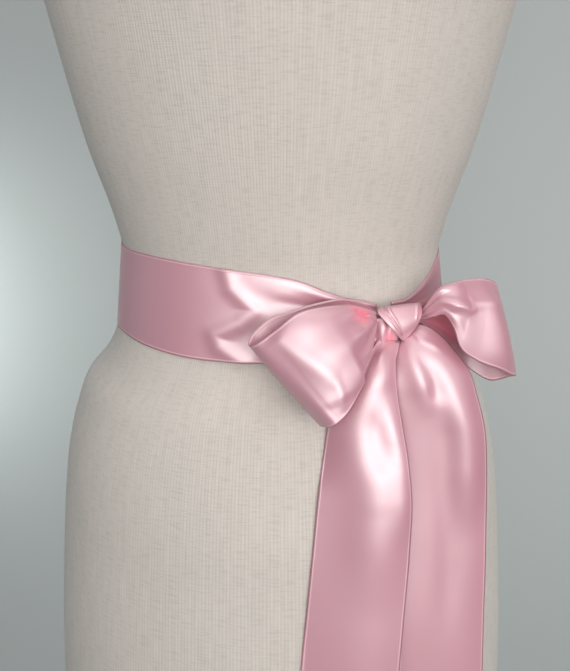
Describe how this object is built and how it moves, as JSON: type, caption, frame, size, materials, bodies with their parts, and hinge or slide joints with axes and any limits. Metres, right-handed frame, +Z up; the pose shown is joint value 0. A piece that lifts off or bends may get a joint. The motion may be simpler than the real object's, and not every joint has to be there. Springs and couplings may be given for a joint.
{
  "type": "satin sash on a dress form",
  "caption": "Wide satin ribbon sash tied round the waist of a limbless dress form on a stand, with a bow at one side of the front and long hanging tails.",
  "frame": {"origin": "middle of the base's underside, on the floor", "axes": "+Z up along the pole and the form's axis, -Y the front of the form, +X to the right of someone who faces it"},
  "size_m": [0.38, 0.38, 1.476],
  "materials": {
    "satin": "light pink double-faced satin with woven selvages",
    "jersey": "off-white fine knit cover, stretched smooth",
    "steel": "satin grey paint"
  },
  "bodies": {
    "root": {"waist_band": "satin", "loop_left": "satin", "loop_right": "satin", "knot_wrap": "satin", "knot_cross": "satin", "tail_left": "satin", "tail_right": "satin", "torso": "jersey", "pole": "steel", "base": "steel", "hub": "steel"}
  },
  "joints": []
}
